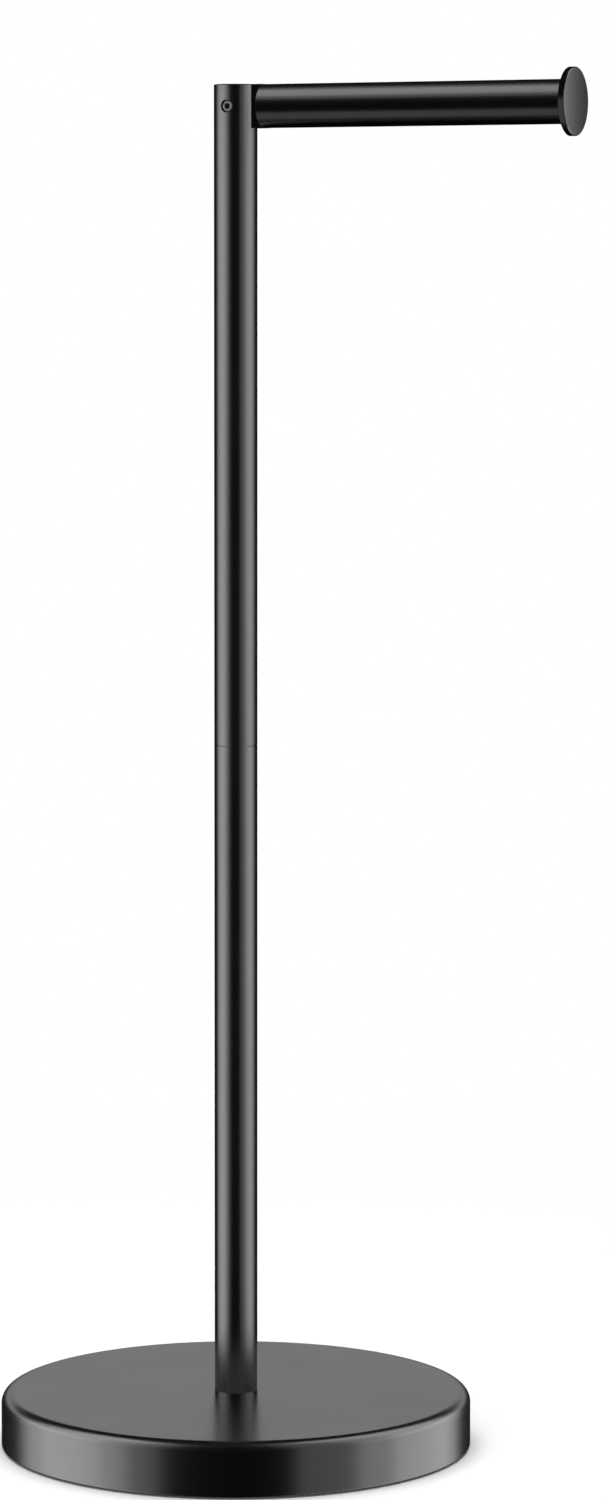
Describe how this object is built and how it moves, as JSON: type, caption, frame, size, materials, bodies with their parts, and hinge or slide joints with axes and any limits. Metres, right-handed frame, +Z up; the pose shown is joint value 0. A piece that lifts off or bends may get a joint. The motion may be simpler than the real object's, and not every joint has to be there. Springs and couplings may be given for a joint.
{
  "type": "freestanding toilet paper holder",
  "caption": "Freestanding holder for toilet rolls: a weighted round base, a tall post that stores spare rolls and a side arm with an end cap.",
  "frame": {"origin": "centre of the base's underside, on the axis of the post", "axes": "+Z up along the post, +X along the side arm, -Y towards the set screw"},
  "size_m": [0.2633, 0.209, 0.6068],
  "materials": {
    "black_powder_coat": "satin",
    "cast_weight": "matte",
    "foam_pad": "matte",
    "black_screw_steel": "satin",
    "zinc_steel": "satin"
  },
  "bodies": {
    "root": {"base_cover": "black_powder_coat", "base_weight": "cast_weight", "base_pad": "foam_pad", "post_bolt": "black_screw_steel", "post_bolt_washer": "zinc_steel", "post_spring_washer": "zinc_steel", "post_foot_plug": "zinc_steel", "post_lower_tube": "black_powder_coat", "lower_joint_plug": "zinc_steel", "post_joint_stud": "zinc_steel", "upper_joint_plug": "zinc_steel", "post_upper_tube": "black_powder_coat", "post_head_plug": "black_powder_coat", "arm_set_screw": "black_screw_steel", "arm_root_fitting": "black_powder_coat", "arm_tube": "black_powder_coat", "arm_end_plug": "zinc_steel", "end_cap_stud": "zinc_steel", "end_cap": "black_powder_coat"}
  },
  "joints": []
}
